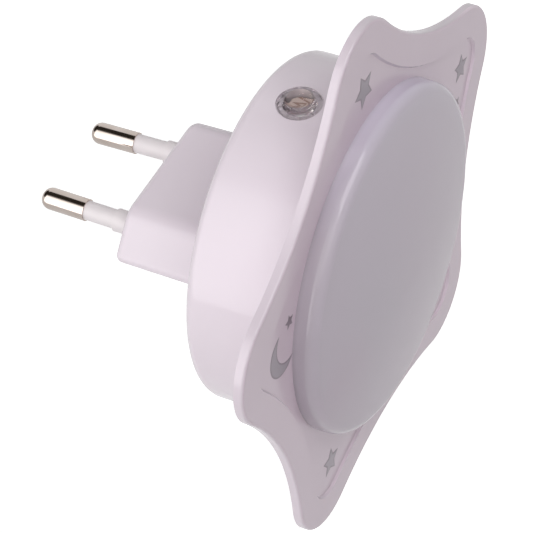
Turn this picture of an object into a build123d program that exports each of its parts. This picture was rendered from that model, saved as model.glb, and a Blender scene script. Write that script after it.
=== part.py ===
from build123d import *
import math
import os

os.makedirs("parts", exist_ok=True)

# Plug-in night light: star-shaped front on a round body with a two-pin plug block.
# Millimetres. X is right and Z is up as seen by someone facing the lit side.
# +Y runs into the wall socket. The origin is the middle of the plug's engagement face.

# ---------------------------------------------------------------- driving dimensions
# Two-pin plug (CEE 7/16 pattern)
PIN_LEN = 19.0            # engagement face to pin tip
PIN_D = 4.0               # bare metal
PIN_TIP_R = 1.7           # rounding of the tip
PIN_BARE = 9.0            # bare metal beyond the sleeve
PIN_NECK_D = 2.6          # metal inside the sleeve
PIN_PITCH = 18.66         # between pin axes at the engagement face
PIN_TOE_DEG = 1.08        # each pin leans inward toward its tip
PIN_FLANGE_D = 6.0        # stops the pin behind the end wall
PIN_FLANGE_T = 1.2
PIN_TAIL_D = 2.6
PIN_TAIL_LEN = 5.0
SLEEVE_D = 3.5
COLLAR_D = 4.2            # thicker root of the sleeve, same bore as the pin root
COLLAR_LEN = 4.0          # outside the engagement face
COLLAR_SUNK = 1.5         # inside the end wall
COUNTERSINK = 0.4         # round each pin at the engagement face

BLOCK_W = 35.4            # plug block across its two points
BLOCK_H = 13.3
BLOCK_FLAT = 23.8         # width of the flat top and bottom
BLOCK_R_TOP = 4.4
BLOCK_R_TIP = 1.3
BLOCK_RIM_R = 1.3         # rounding round the engagement face
BLOCK_DRAFT_DEG = 0.6
BLOCK_WALL = 2.0
END_WALL = 8.0            # wall that carries the pins
BLOCK_DEPTH = 20.8        # engagement face to the back of the drum

# Round body
DRUM_R = 31.1
DRUM_RIM_R = 1.9
DRUM_WALL = 2.0
DRUM_BACK_WALL = 2.0
FLOOR_R = 1.2             # inner corner of the drum
DRUM_DEPTH = 19.1         # back of the drum to the back of the star
RIB_T = 1.2
RIB_H = 2.2               # ribs on the floor of the drum

# Star-shaped front
STAR_T = 1.7
STAR_EDGE_R = 0.5
STAR_POINT_H = 11.0       # bottom of a valley to the end of a point, along the radius
STAR_TIP_ROUND = 11.4
FIELD_INSET = 5.7         # border between the outline and the sunk field
FIELD_SUNK = 0.5
FIELD_SLOPE = 0.35        # run of the sloping step
FIELD_GAP = 1.68          # diffuser to the foot of the step, at a valley
OPENING_LEDGE = 0.8       # left inside the skirt round the light opening
SKIRT_OUT_CLEAR = 0.2
SKIRT_T = 1.6
SKIRT_LEN = 4.5
LOCATOR_T = 1.6
LOCATOR_H = 2.0
LENS_FIT = 0.17
SNAP_LUGS = 4
SNAP_OUT = 0.35
SNAP_H = 0.5
SNAP_DEG = 14.0
SNAP_UP = 1.0             # lug above the field
SNAP_CLEAR = 0.2          # groove in the diffuser round the lugs

# Diffuser
LENS_PROUD = 0.17         # rim beyond the drum
LENS_WALL = 1.5
LENS_SIDE = 2.0           # straight side above the field
LENS_SHOULDER_R = 2.0
LENS_CROWN = 1.8          # rise of the domed face over its rim
LENS_DRAFT = 0.1          # narrowing of the straight side

# Assembly screws from the back
SCREW_INSET = 0.3         # boss edge inside the skirt's outer face
SCREW_ANGLES = (30.0, 150.0, 270.0)
SCREW_D = 2.9
SCREW_LEN = 8.0
SCREW_HEAD_D = 5.4
SCREW_HEAD_H = 2.0
SCREW_HOLE_CLEAR = 0.2
SCREW_WELL_CLEAR = 0.6
PILOT_SPARE = 0.5         # pilot hole beyond the screw tip
PILOT_SKIN = 1.8          # left between a pilot hole and the sunk field
SCREW_SEAT_T = 2.0
TUBE_WALL = 1.0
STAR_BOSS_D = 6.4
STAR_BOSS_GAP = 0.2

HEAD_TOP_D = 0.6          # pan head and tip, as shares of the head's and the shank's diameter
HEAD_SHOULDER_D = 0.92
HEAD_SHOULDER_H = 0.55
SCREW_POINT_LEN = 0.9
SCREW_POINT_D = 0.24
DRIVE_SPAN = 0.5
DRIVE_T = 0.2
DRIVE_DEPTH = 0.5

# Circuit board and its posts
BOARD_EDGE_CLEAR = 0.4    # board edge to the screw bosses
BOARD_T = 1.6
POST_INSET = 4.8          # post axis to the board's edge
POST_ANGLES = (90.0, 210.0, 330.0)
POST_D = 5.0
BOARD_SCREW_D = 2.2
BOARD_SCREW_LEN = 8.0
BOARD_SCREW_HEAD_D = 3.8
BOARD_SCREW_HEAD_H = 1.4
BOARD_SCREW_CLEAR = 0.2
HOLE_OVER_LEAD = 0.3      # board hole wider than the lead in it
LEAD_PAST_BOARD = 0.7

# Reflector
REFLECTOR_EDGE_CLEAR = 0.2
REFLECTOR_T = 1.0
REFLECTOR_PAD_D = 5.4
REFLECTOR_PAD_H = 1.7      # board front to the back of the reflector
WINDOW_BACK_D = 5.0
WINDOW_FRONT_D = 7.0

# Light-emitting diodes, on the front of the board
LED_COUNT = 6
LED_RING_R = 10.5
LED_L = 3.5
LED_W = 2.8
LED_H = 0.7
LED_CORNER_R = 0.3
LED_EMITTER_D = 2.2
LED_EMITTER_DEPTH = 0.2

# Light sensor on top of the drum
SENSOR_FROM_STAR = 10.6   # sensor axis to the back of the star
SENSOR_FLANGE_D = 7.5
SENSOR_FLANGE_T = 0.6
SENSOR_FLAT = 3.55        # axis to the small flat on the flange
SENSOR_SEAT_DEPTH = 0.4   # floor of the spot-faced seat below the drum
SENSOR_SEAT_CLEAR = 0.25
SENSOR_LENS_D = 5.4
SENSOR_DOME_H = 0.9
SENSOR_DOME_R = 0.8
SENSOR_SPIGOT = 2.5       # below the flange
SENSOR_HOLE_CLEAR = 0.3
SENSOR_COLLAR_WALL = 1.0
SENSOR_COLLAR_LEN = 5.9   # seat-side wall down to the collar's mouth
CELL_L = 5.1
CELL_W = 4.3
CELL_T = 2.0
CELL_GAP = 0.1            # between the lens spigot and the cell
CELL_LEAD_D = 0.5
CELL_LEAD_PITCH = 3.0
CELL_LEAD_INSET = 1.2     # lead holes to the board's edge
CELL_LEAD_BEND = 2.4

# Board-mounted parts; an inset is from the board's edge to the part's axis
FILM_CAP_INSET = 7.2
FILM_CAP_SIZE = (18.0, 7.0, 11.5)   # X, Z, height
FILM_CAP_R = 0.8
FILM_CAP_PITCH = 15.0
CAP_LEAD_D = 0.8
CAN_X = -9.8
CAN_INSET = 9.6
CAN_D = 6.3
CAN_H = 11.0
CAN_PITCH = 2.5
CAN_GROOVE_D = 5.5
CAN_GROOVE_UP = 2.0
CAN_GROOVE_H = 0.8
CAN_GROOVE_ROUND = 0.2
CAN_EDGE = 0.5
BRIDGE_AT = (10.2, 11.2)
BRIDGE_SIZE = (8.4, 6.4, 3.2)
BRIDGE_PITCH = (5.1, 3.1)
BRIDGE_CORNER_R = 0.4
FUSE_RES_AT = (0.0, 7.2)
FUSE_RES_D = 3.6
FUSE_RES_L = 9.0
FUSE_RES_PITCH = 13.0
BLEED_RES_INSET = 6.6
BLEED_RES_Z = 1.2
BLEED_RES_D = 2.4
BLEED_RES_L = 6.4
BLEED_RES_PITCH = 9.5
ZENER_INSET = 5.2
ZENER_Z = 2.0
ZENER_D = 2.0
ZENER_L = 4.0
ZENER_PITCH = 7.5
TRANSISTOR_AT = (0.0, -5.4)
TRANSISTOR_D = 4.6
TRANSISTOR_FLAT = 1.4     # axis to the flat face
TRANSISTOR_H = 4.6
TRANSISTOR_UP = 2.0
TRANSISTOR_PITCH = 1.9
SMALL_LEAD_D = 0.55
LEAD_BEND_R = 0.8
AXIAL_END_D = 0.92        # rounded ends and waist of an axial part, as shares of its diameter
AXIAL_WAIST_D = 0.88
AXIAL_CHAMFER = 0.2
AXIAL_WAIST_HALF = 0.22   # as shares of its length
AXIAL_BULB_HALF = 0.28

# Insulated leads from the pins to the board
WIRE_D = 1.5
WIRE_CORE_D = 0.8
WIRE_BARE = 2.0
WIRE_CUP_DEPTH = 2.0
WIRE_JACKET_GAP = 0.3     # bare core between the cup and the jacket
WIRE_PAD_X = 7.6
WIRE_PAD_Z = 0.0
WIRE_ROUTE = ((10.5, -20.6, 1.3), (8.6, -27.8, 1.5))   # between the cup and the pad, right-hand side

# ---------------------------------------------------------------- derived positions
# depths, from the wall toward the room
DRUM_BACK_Y = -BLOCK_DEPTH
DRUM_FLOOR_Y = DRUM_BACK_Y - DRUM_BACK_WALL
STAR_BACK_Y = DRUM_BACK_Y - DRUM_DEPTH
BORDER_Y = STAR_BACK_Y - STAR_T
FIELD_Y = BORDER_Y + FIELD_SUNK
REFLECTOR_BACK_Y = STAR_BACK_Y
REFLECTOR_FRONT_Y = REFLECTOR_BACK_Y - REFLECTOR_T
BOARD_FRONT_Y = REFLECTOR_BACK_Y + REFLECTOR_PAD_H
BOARD_BACK_Y = BOARD_FRONT_Y + BOARD_T
BOARD_LEAD_Y = BOARD_FRONT_Y - LEAD_PAST_BOARD
PILOT_END_Y = FIELD_Y + PILOT_SKIN
SCREW_SEAT_Y = PILOT_END_Y + PILOT_SPARE + SCREW_LEN
TUBE_END_Y = SCREW_SEAT_Y - SCREW_SEAT_T
STAR_BOSS_Y = TUBE_END_Y - STAR_BOSS_GAP
POST_PILOT_Y = REFLECTOR_FRONT_Y + BOARD_SCREW_LEN + PILOT_SPARE
SENSOR_Y = STAR_BACK_Y + SENSOR_FROM_STAR

# radii and diameters, from the drum
DRUM_IN_R = DRUM_R - DRUM_WALL
SKIRT_R = DRUM_IN_R - SKIRT_OUT_CLEAR
OPENING_R = SKIRT_R - SKIRT_T - OPENING_LEDGE
REFLECTOR_R = OPENING_R - REFLECTOR_EDGE_CLEAR
LENS_R = DRUM_R + LENS_PROUD
LENS_IN_R = LENS_R - LENS_WALL
LOCATOR_R = LENS_IN_R - LENS_FIT
STAR_VALLEY_R = LENS_R + FIELD_GAP + FIELD_SLOPE + FIELD_INSET
STAR_TIP_R = STAR_VALLEY_R + STAR_POINT_H
SCREW_RING_R = SKIRT_R - SCREW_INSET - STAR_BOSS_D / 2
SCREW_HOLE_D = SCREW_D + SCREW_HOLE_CLEAR
SCREW_WELL_D = SCREW_HEAD_D + SCREW_WELL_CLEAR
TUBE_D = SCREW_WELL_D + 2 * TUBE_WALL
BOARD_R = SCREW_RING_R - STAR_BOSS_D / 2 - BOARD_EDGE_CLEAR
BOARD_SCREW_HOLE_D = BOARD_SCREW_D + BOARD_SCREW_CLEAR
POST_RING_R = BOARD_R - POST_INSET
SENSOR_SEAT_Z = DRUM_R - SENSOR_SEAT_DEPTH
SENSOR_COLLAR_Z = DRUM_R - SENSOR_COLLAR_LEN
SENSOR_HOLE_D = SENSOR_LENS_D + SENSOR_HOLE_CLEAR
SENSOR_COLLAR_D = SENSOR_HOLE_D + 2 * SENSOR_COLLAR_WALL

# centres (x, z) of parts on the board
FILM_CAP_AT = (0.0, FILM_CAP_INSET - BOARD_R)
CAN_AT = (CAN_X, BOARD_R - CAN_INSET)
BLEED_RES_AT = (BOARD_R - BLEED_RES_INSET, BLEED_RES_Z)
ZENER_AT = (ZENER_INSET - BOARD_R, ZENER_Z)
CELL_LEAD_Z = BOARD_R - CELL_LEAD_INSET

# along a leaning pin, from the engagement face
TOE = math.radians(PIN_TOE_DEG)
SLEEVE_END_S = PIN_LEN - PIN_BARE
PIN_FLANGE_S = -END_WALL - PIN_FLANGE_D * math.tan(TOE)
PIN_TAIL_S = PIN_FLANGE_S - PIN_FLANGE_T - PIN_TAIL_LEN

# allowances of the solids themselves
WELD = 0.6                # how far a boss, rib or ring runs into the wall that carries it
OVERCUT = 1.0             # how far a cut runs past the face that it opens
EPS = 0.01


# ---------------------------------------------------------------- helpers
def plane_at(y, x=0.0, z=0.0):
    """Sketch plane facing the room at depth y: sketch X is X, sketch Y is Z."""
    return Plane(origin=(x, y, z), x_dir=(1, 0, 0), z_dir=(0, -1, 0))


def rod(x, z, y_back, y_front, d):
    """Round bar along Y from y_back (nearer the wall) to y_front."""
    return extrude(plane_at(y_back, x, z) * Circle(d / 2), amount=y_back - y_front)


def on_ring(r, angles):
    """Points (x, z) on a circle of radius r about the Y axis."""
    return [(r * math.cos(math.radians(a)), r * math.sin(math.radians(a))) for a in angles]


def turned(points):
    """Solid of revolution about the Y axis from (radius, y) points."""
    face = make_face(Plane.XY * Polyline(*points, close=True))
    return revolve(face, axis=Axis.Y)


def ring(r_in, r_out, y_back, y_front):
    """Flat-ended tube about the Y axis."""
    return turned([(r_in, y_back), (r_out, y_back), (r_out, y_front), (r_in, y_front)])


def tube_path(points, bend_r, d):
    """Round rod swept along straight runs joined by arcs."""
    path = FilletPolyline(*points, radius=bend_r)
    section = Plane(origin=path @ 0, z_dir=path % 0) * Circle(d / 2)
    return sweep(section, path=path)


def lead_pins(points, d):
    """Straight leads from the back of the board through to its front."""
    return [rod(x, z, BOARD_BACK_Y + EPS, BOARD_LEAD_Y, d) for x, z in points]


# ---------------------------------------------------------------- star outline
def star_geometry(inset):
    """Centres and radii of the tip and valley arcs of the outline moved inward."""
    tip_centre = STAR_TIP_R - STAR_TIP_ROUND
    k = STAR_TIP_ROUND - STAR_VALLEY_R
    c = math.cos(math.pi / 5)
    valley_centre = (tip_centre ** 2 - k ** 2) / (2 * tip_centre * c + 2 * k)
    tip_r = STAR_TIP_ROUND - inset
    valley_r = valley_centre - STAR_VALLEY_R + inset
    return tip_centre, tip_r, valley_centre, valley_r


def polar(r, a):
    return Vector(r * math.cos(a), r * math.sin(a), 0)


def star_face(inset):
    """Five-pointed star of tangent arcs, one point up."""
    tip_c, tip_r, val_c, val_r = star_geometry(inset)
    step = 2 * math.pi / 5
    edges = []
    for i in range(5):
        a = math.pi / 2 + i * step
        tip = polar(tip_c, a)
        joins = []
        for side in (-0.5, 0.5):
            toward = polar(val_c, a + side * step) - tip
            joins.append(tip + toward.normalized() * tip_r)
        edges.append(ThreePointArc(joins[0], polar(tip_c + tip_r, a), joins[1]))
        next_tip = polar(tip_c, a + step)
        valley = polar(val_c, a + step / 2)
        end = next_tip + (valley - next_tip).normalized() * tip_r
        edges.append(ThreePointArc(joins[1], polar(val_c - val_r, a + step / 2), end))
    return make_face(edges)


# ---------------------------------------------------------------- plug block outline
def block_face(shrink):
    """Pointed-sided plug section, moved inward by shrink."""
    slant = math.atan2(BLOCK_H / 2, (BLOCK_W - BLOCK_FLAT) / 2)
    point = BLOCK_W / 2 + BLOCK_R_TIP * (1 / math.sin(slant) - 1) - shrink / math.sin(slant)
    h = BLOCK_H / 2 - shrink
    f = BLOCK_FLAT / 2 - shrink * math.tan(slant / 2)
    face = make_face(Polyline((f, h), (point, 0), (f, -h), (-f, -h), (-point, 0), (-f, h), close=True))
    face = fillet([v for v in face.vertices() if abs(v.Y) < EPS], BLOCK_R_TIP)
    return fillet([v for v in face.vertices() if abs(abs(v.Y) - h) < EPS], BLOCK_R_TOP - shrink)


def block_solid():
    """Outer plug block with its draft and the rounding of its engagement face."""
    length = BLOCK_DEPTH + DRUM_BACK_WALL / 2
    body = extrude(plane_at(0) * block_face(0), amount=length, taper=-BLOCK_DRAFT_DEG)
    return fillet(body.faces().sort_by(Axis.Y)[-1].edges(), BLOCK_RIM_R)


# ---------------------------------------------------------------- rear housing
def drum_shell():
    """Round cup with a rounded back rim."""
    outer = extrude(plane_at(DRUM_BACK_Y) * Circle(DRUM_R), amount=DRUM_BACK_Y - STAR_BACK_Y)
    outer = fillet(outer.edges().sort_by(Axis.Y)[-1], DRUM_RIM_R)
    inner = extrude(plane_at(DRUM_FLOOR_Y) * Circle(DRUM_IN_R), amount=DRUM_FLOOR_Y - STAR_BACK_Y + OVERCUT)
    inner = fillet(inner.edges().sort_by(Axis.Y)[-1], FLOOR_R)
    return outer, inner


def floor_rib(angle):
    """Low rib from a board post out to the side wall."""
    length = DRUM_IN_R + WELD - POST_RING_R
    rib = Pos(POST_RING_R + length / 2, 0) * Rectangle(length, RIB_T)
    return extrude(plane_at(DRUM_FLOOR_Y + WELD) * (Rot(0, 0, angle) * rib), amount=WELD + RIB_H)


def sensor_cylinder(z, d, height):
    """Upright cylinder on the sensor's axis."""
    return extrude(Plane(origin=(0, SENSOR_Y, z)) * Circle(d / 2), amount=height)


def pin_hole(side):
    """Bore for a pin root with a countersink at the engagement face."""
    r = COLLAR_D / 2
    deep = -END_WALL - OVERCUT
    profile = [(0, OVERCUT), (r + COUNTERSINK + OVERCUT, OVERCUT), (r, -COUNTERSINK), (r, deep), (0, deep)]
    return on_pin_axis(side, turned(profile))


def rear_housing():
    """Plug block and drum in one moulding with screw tubes, board posts and sensor collar."""
    screws = on_ring(SCREW_RING_R, SCREW_ANGLES)
    posts = on_ring(POST_RING_R, POST_ANGLES)
    inside = DRUM_FLOOR_Y + WELD
    outer, inner = drum_shell()
    body = outer + block_solid() - inner
    body -= extrude(plane_at(-END_WALL) * block_face(BLOCK_WALL), amount=-DRUM_FLOOR_Y - END_WALL + OVERCUT)
    for x, z in screws:
        body += rod(x, z, inside, TUBE_END_Y, TUBE_D) & rod(0, 0, inside, TUBE_END_Y, 2 * (DRUM_IN_R + WELD))
    for x, z in posts:
        body += rod(x, z, inside, BOARD_BACK_Y, POST_D)
    for angle in POST_ANGLES:
        body += floor_rib(angle)
    body += sensor_cylinder(SENSOR_COLLAR_Z, SENSOR_COLLAR_D, DRUM_IN_R + WELD - SENSOR_COLLAR_Z)
    for x, z in screws:
        body -= rod(x, z, DRUM_BACK_Y + OVERCUT, SCREW_SEAT_Y, SCREW_WELL_D)
        body -= rod(x, z, SCREW_SEAT_Y + OVERCUT, TUBE_END_Y - OVERCUT, SCREW_HOLE_D)
    for x, z in posts:
        body -= rod(x, z, POST_PILOT_Y, BOARD_BACK_Y - OVERCUT, BOARD_SCREW_D)
    for side in (-1, 1):
        body -= pin_hole(side)
    seat_d = SENSOR_FLANGE_D + 2 * SENSOR_SEAT_CLEAR
    body -= sensor_cylinder(SENSOR_SEAT_Z, seat_d, SENSOR_SEAT_DEPTH + OVERCUT)
    body -= sensor_cylinder(SENSOR_COLLAR_Z - OVERCUT, SENSOR_HOLE_D, SENSOR_COLLAR_LEN + 2 * OVERCUT)
    return body


# ---------------------------------------------------------------- pins and sleeves
def on_pin_axis(side, part):
    """Move a part turned about Y onto one leaning pin axis."""
    return Pos(side * PIN_PITCH / 2, 0, 0) * (Rot(0, 0, side * PIN_TOE_DEG) * part)


def plug_pin(side):
    """Metal pin: rounded bare end, neck for the sleeve, root, stop flange and solder cup."""
    flange_end = PIN_FLANGE_S - PIN_FLANGE_T
    cup_end = PIN_TAIL_S + WIRE_CUP_DEPTH
    cup_r = WIRE_CORE_D / 2
    profile = [(0, PIN_LEN), (PIN_D / 2, PIN_LEN), (PIN_D / 2, SLEEVE_END_S), (PIN_NECK_D / 2, SLEEVE_END_S)]
    profile += [(PIN_NECK_D / 2, -COLLAR_SUNK), (COLLAR_D / 2, -COLLAR_SUNK), (COLLAR_D / 2, PIN_FLANGE_S)]
    profile += [(PIN_FLANGE_D / 2, PIN_FLANGE_S), (PIN_FLANGE_D / 2, flange_end)]
    profile += [(PIN_TAIL_D / 2, flange_end), (PIN_TAIL_D / 2, PIN_TAIL_S)]
    profile += [(cup_r, PIN_TAIL_S), (cup_r, cup_end), (0, cup_end)]
    pin = turned(profile)
    return on_pin_axis(side, fillet(pin.edges().sort_by(Axis.Y)[-1], PIN_TIP_R))


def pin_sleeve(side):
    """Insulating sleeve with a thicker root that is sunk in the end wall."""
    profile = [(PIN_NECK_D / 2, SLEEVE_END_S), (SLEEVE_D / 2, SLEEVE_END_S), (SLEEVE_D / 2, COLLAR_LEN)]
    profile += [(COLLAR_D / 2, COLLAR_LEN), (COLLAR_D / 2, -COLLAR_SUNK), (PIN_NECK_D / 2, -COLLAR_SUNK)]
    return on_pin_axis(side, turned(profile))


def pin_tail_point(side):
    """Mouth of the solder cup at the inner end of a pin."""
    return Vector(side * (PIN_PITCH / 2 - PIN_TAIL_S * math.sin(TOE)), PIN_TAIL_S * math.cos(TOE), 0)


def cord_path(points):
    """Straight runs joined by arcs as large as the runs allow."""
    radii = []
    for a, b, c in zip(points, points[1:], points[2:]):
        half_turn = math.radians((b - a).get_angle(c - b)) / 2
        radii.append(0.45 * min((b - a).length, (c - b).length) / math.tan(half_turn))
    print("lead bend radii", [round(r, 1) for r in radii])
    return FilletPolyline(*points, radius=radii)


def pin_lead(side):
    """Insulated lead from the solder cup to the board, with a soft bend for slack."""
    axis = Vector(-side * math.sin(TOE), math.cos(TOE), 0)
    start = pin_tail_point(side) - axis * WIRE_JACKET_GAP
    pad = Vector(side * WIRE_PAD_X, BOARD_BACK_Y + WIRE_BARE, WIRE_PAD_Z)
    path = cord_path([start] + [Vector(side * x, y, z) for x, y, z in WIRE_ROUTE] + [pad])
    lead = sweep(Plane(origin=path @ 0, z_dir=path % 0) * Circle(WIRE_D / 2), path=path)
    cup = Plane(origin=start - axis * WIRE_JACKET_GAP, z_dir=axis) * Circle(WIRE_CORE_D / 2)
    lead += extrude(cup, amount=2 * WIRE_JACKET_GAP + WIRE_CUP_DEPTH)
    return lead + rod(side * WIRE_PAD_X, WIRE_PAD_Z, pad.Y + WIRE_JACKET_GAP, BOARD_LEAD_Y, WIRE_CORE_D)


# ---------------------------------------------------------------- star front
def star_front():
    """Star plate with a sunk field, light opening, locating rings, snap lugs and screw bosses."""
    plate = extrude(plane_at(STAR_BACK_Y) * star_face(0), amount=STAR_T)
    plate = fillet(plate.faces().sort_by(Axis.Y)[0].edges(), STAR_EDGE_R)
    low = plane_at(FIELD_Y) * star_face(FIELD_INSET + FIELD_SLOPE)
    high = plane_at(BORDER_Y - EPS) * star_face(FIELD_INSET)
    plate -= loft([low, high])
    plate += ring(LOCATOR_R - LOCATOR_T, LOCATOR_R, FIELD_Y + WELD, FIELD_Y - LOCATOR_H)
    plate += ring(SKIRT_R - SKIRT_T, SKIRT_R, STAR_BACK_Y - WELD, STAR_BACK_Y + SKIRT_LEN)
    plate -= rod(0, 0, STAR_BACK_Y + OVERCUT, BORDER_Y - OVERCUT, 2 * OPENING_R)
    lug_y = FIELD_Y - SNAP_UP
    plate += ring(LOCATOR_R - WELD, LOCATOR_R + SNAP_OUT, lug_y, lug_y - SNAP_H) & lug_sectors()
    for x, z in on_ring(SCREW_RING_R, SCREW_ANGLES):
        plate += rod(x, z, STAR_BOSS_Y, STAR_BACK_Y - WELD, STAR_BOSS_D)
        plate -= rod(x, z, STAR_BOSS_Y + OVERCUT, PILOT_END_Y, SCREW_D)
    return plate - rod(0, 0, REFLECTOR_BACK_Y, FIELD_Y - OVERCUT, 2 * OPENING_R)


def lug_sectors():
    """Wedges that keep only the snap-lug lengths of the lug ring."""
    wedges = Part()
    for i in range(SNAP_LUGS):
        middle = 180 / SNAP_LUGS + 360 / SNAP_LUGS * i
        corners = [(0, 0)] + on_ring(LENS_R, [middle - SNAP_DEG / 2, middle + SNAP_DEG / 2])
        wedges += extrude(plane_at(FIELD_Y) * make_face(Polyline(*corners, close=True)), amount=LOCATOR_H)
    return wedges


# ---------------------------------------------------------------- diffuser
def lens_body(inset):
    """Solid cap moved inward by inset: drafted side under a shallow ball, with a rounded shoulder."""
    rim_r = LENS_R - LENS_DRAFT - LENS_SHOULDER_R
    crown_y = FIELD_Y - LENS_SIDE - LENS_SHOULDER_R - LENS_CROWN
    ball_r = (rim_r ** 2 + LENS_CROWN ** 2) / (2 * LENS_CROWN)
    side_r = LENS_R - inset
    narrowing = LENS_DRAFT / LENS_SIDE * (FIELD_Y - crown_y)
    side = turned([(0, FIELD_Y), (side_r, FIELD_Y), (side_r - narrowing, crown_y), (0, crown_y)])
    body = side & Pos(0, crown_y + ball_r, 0) * Sphere(ball_r - inset)
    top_edge = body.edges().filter_by(GeomType.CIRCLE).sort_by(Axis.Y)[0]
    return fillet(top_edge, max(LENS_SHOULDER_R - inset, LENS_SHOULDER_R / 4))


def diffuser():
    """Milky cap over the light opening, with a groove for the snap lugs."""
    cap = lens_body(0) - lens_body(LENS_WALL)
    lug_y = FIELD_Y - SNAP_UP
    return cap - ring(LENS_IN_R / 2, LENS_IN_R + SNAP_OUT, lug_y + SNAP_CLEAR, lug_y - SNAP_H - SNAP_CLEAR)


# ---------------------------------------------------------------- screws
def tapping_screw(x, z, seat_y, d, length, head_d, head_h, sign):
    """Pan-head screw; sign +1 puts the head toward the wall, -1 toward the room."""
    r = d / 2
    head_r = head_d / 2
    profile = [(0, head_h), (head_r * HEAD_TOP_D, head_h)]
    profile += [(head_r * HEAD_SHOULDER_D, head_h * HEAD_SHOULDER_H), (head_r, 0)]
    profile += [(r, 0), (r, d * SCREW_POINT_LEN - length)]
    profile += [(r * SCREW_POINT_D, -length), (0, -length)]
    bar = (head_d * DRIVE_SPAN, 2 * head_h * DRIVE_DEPTH, d * DRIVE_T)
    screw = turned(profile) - Pos(0, head_h, 0) * (Box(*bar) + Box(*reversed(bar)))
    if sign < 0:
        screw = Rot(180, 0, 0) * screw
    return Pos(x, seat_y, z) * screw


def housing_screws():
    """Three screws that pull the star front onto the drum."""
    return [tapping_screw(x, z, SCREW_SEAT_Y, SCREW_D, SCREW_LEN, SCREW_HEAD_D, SCREW_HEAD_H, 1)
            for x, z in on_ring(SCREW_RING_R, SCREW_ANGLES)]


def board_screws():
    """Three screws through the reflector and the board into the posts."""
    return [tapping_screw(x, z, REFLECTOR_FRONT_Y, BOARD_SCREW_D, BOARD_SCREW_LEN, BOARD_SCREW_HEAD_D,
                          BOARD_SCREW_HEAD_H, -1)
            for x, z in on_ring(POST_RING_R, POST_ANGLES)]


# ---------------------------------------------------------------- light source
def led_angles():
    return [360 / LED_COUNT * i for i in range(LED_COUNT)]


def led(angle):
    """Surface-mounted diode with a shallow emitter recess."""
    x, z = on_ring(LED_RING_R, [angle])[0]
    body = extrude(plane_at(BOARD_FRONT_Y, x, z) * RectangleRounded(LED_L, LED_W, LED_CORNER_R), amount=LED_H)
    emitter = plane_at(BOARD_FRONT_Y - LED_H, x, z) * Circle(LED_EMITTER_D / 2)
    return body - extrude(emitter, amount=-LED_EMITTER_DEPTH)


def reflector():
    """White disc that closes the light opening round the diodes."""
    disc = rod(0, 0, REFLECTOR_BACK_Y, REFLECTOR_FRONT_Y, 2 * REFLECTOR_R)
    for x, z in on_ring(POST_RING_R, POST_ANGLES):
        disc += rod(x, z, BOARD_FRONT_Y, REFLECTOR_FRONT_Y, REFLECTOR_PAD_D)
        disc -= rod(x, z, BOARD_FRONT_Y + OVERCUT, REFLECTOR_FRONT_Y - OVERCUT, BOARD_SCREW_HOLE_D)
    for x, z in on_ring(LED_RING_R, led_angles()):
        pts = [(0, REFLECTOR_BACK_Y), (WINDOW_BACK_D / 2, REFLECTOR_BACK_Y)]
        pts += [(WINDOW_FRONT_D / 2, REFLECTOR_FRONT_Y), (0, REFLECTOR_FRONT_Y)]
        disc -= Pos(x, 0, z) * turned(pts)
    return disc


# ---------------------------------------------------------------- board-mounted parts
def pair(at, pitch):
    """Two lead positions either side of a part, along X."""
    return [(at[0] - pitch / 2, at[1]), (at[0] + pitch / 2, at[1])]


def film_capacitor():
    """Boxed suppression capacitor that drops the mains voltage."""
    w, d, h = FILM_CAP_SIZE
    body = extrude(plane_at(BOARD_BACK_Y, *FILM_CAP_AT) * RectangleRounded(w, d, FILM_CAP_R), amount=-h)
    body = fillet(body.faces().sort_by(Axis.Y)[-1].edges(), FILM_CAP_R / 2)
    for lead in lead_pins(pair(FILM_CAP_AT, FILM_CAP_PITCH), CAP_LEAD_D):
        body += lead
    return body


def electrolytic_capacitor():
    """Can capacitor standing on the board, with its rolled groove."""
    x, z = CAN_AT
    r = CAN_D / 2
    groove_r = CAN_GROOVE_D / 2
    low = CAN_GROOVE_UP
    high = low + CAN_GROOVE_H
    profile = [(0, 0), (r, 0), (r, low), (groove_r, low + CAN_GROOVE_ROUND)]
    profile += [(groove_r, high - CAN_GROOVE_ROUND), (r, high)]
    profile += [(r, CAN_H - CAN_EDGE), (r - CAN_EDGE, CAN_H), (0, CAN_H)]
    body = Pos(x, BOARD_BACK_Y, z) * turned(profile)
    for lead in lead_pins(pair(CAN_AT, CAN_PITCH), SMALL_LEAD_D):
        body += lead
    return body


def bridge_points():
    x, z = BRIDGE_AT
    dx, dz = BRIDGE_PITCH
    return [(x + i * dx / 2, z + j * dz / 2) for i in (-1, 1) for j in (-1, 1)]


def bridge_rectifier():
    """Four-lead bridge in a flat box."""
    w, d, h = BRIDGE_SIZE
    body = extrude(plane_at(BOARD_BACK_Y, *BRIDGE_AT) * RectangleRounded(w, d, BRIDGE_CORNER_R), amount=-h)
    for lead in lead_pins(bridge_points(), SMALL_LEAD_D):
        body += lead
    return body


def axial_part(at, pitch, d, length, along_z):
    """Axial part lying on the board with bent leads."""
    r = d / 2
    y = BOARD_BACK_Y + r
    end = pitch / 2
    legs = [(-end, BOARD_LEAD_Y, 0), (-end, y, 0), (end, y, 0), (end, BOARD_LEAD_Y, 0)]
    half = [(r * AXIAL_END_D, length / 2), (r, length / 2 - d * AXIAL_CHAMFER), (r, length * AXIAL_BULB_HALF)]
    half += [(r * AXIAL_WAIST_D, length * AXIAL_WAIST_HALF)]
    profile = [(0, length / 2)] + half + [(px, -py) for px, py in reversed(half)] + [(0, -length / 2)]
    body = Pos(0, y, 0) * (Rot(0, 0, 90) * turned(profile))
    part = body + tube_path(legs, LEAD_BEND_R, SMALL_LEAD_D)
    if along_z:
        part = Rot(0, 90, 0) * part
    return Pos(at[0], 0, at[1]) * part


def axial_points(at, pitch, along_z):
    if along_z:
        return [(at[0], at[1] - pitch / 2), (at[0], at[1] + pitch / 2)]
    return pair(at, pitch)


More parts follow.
